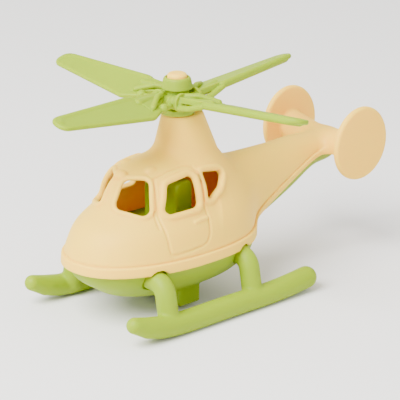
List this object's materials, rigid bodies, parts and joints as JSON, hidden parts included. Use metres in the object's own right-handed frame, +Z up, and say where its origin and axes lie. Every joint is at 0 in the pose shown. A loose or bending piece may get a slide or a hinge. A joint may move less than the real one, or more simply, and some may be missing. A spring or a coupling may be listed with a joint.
{
  "type": "toy helicopter",
  "caption": "Moulded toy helicopter with an open-window cabin, tail boom with twin fins, landing skids and a free-spinning rotor.",
  "frame": {"origin": "on the ground plane, under the middle of the object's bounding box", "axes": "+Z up, -Y towards the nose, +Y towards the tail, +X towards the helicopter's left side"},
  "size_m": [0.2048, 0.2541, 0.1457],
  "materials": {
    "cream_plastic": "fine matte moulded plastic, cream",
    "green_plastic": "fine matte moulded plastic, light green",
    "screw_steel": "zinc-plated steel"
  },
  "bodies": {
    "fuselage": {"upper_shell": "cream_plastic", "lower_shell": "green_plastic", "cabin_deck": "green_plastic", "left_skid": "green_plastic", "right_skid": "green_plastic", "rotor_pin": "cream_plastic", "pin_washer": "screw_steel", "pin_screw": "screw_steel", "shell_screws": "screw_steel", "skid_screws": "screw_steel"},
    "rotor": {"rotor_head": "green_plastic", "blade_left": "green_plastic", "blade_rear": "green_plastic", "blade_right": "green_plastic", "blade_front": "green_plastic"}
  },
  "joints": [
    {"name": "rotor_spin", "type": "hinge", "parent": "fuselage", "child": "rotor", "pos_m": [0, -0.024, 0.13], "axis": [0, 0, 1], "continuous": true}
  ]
}
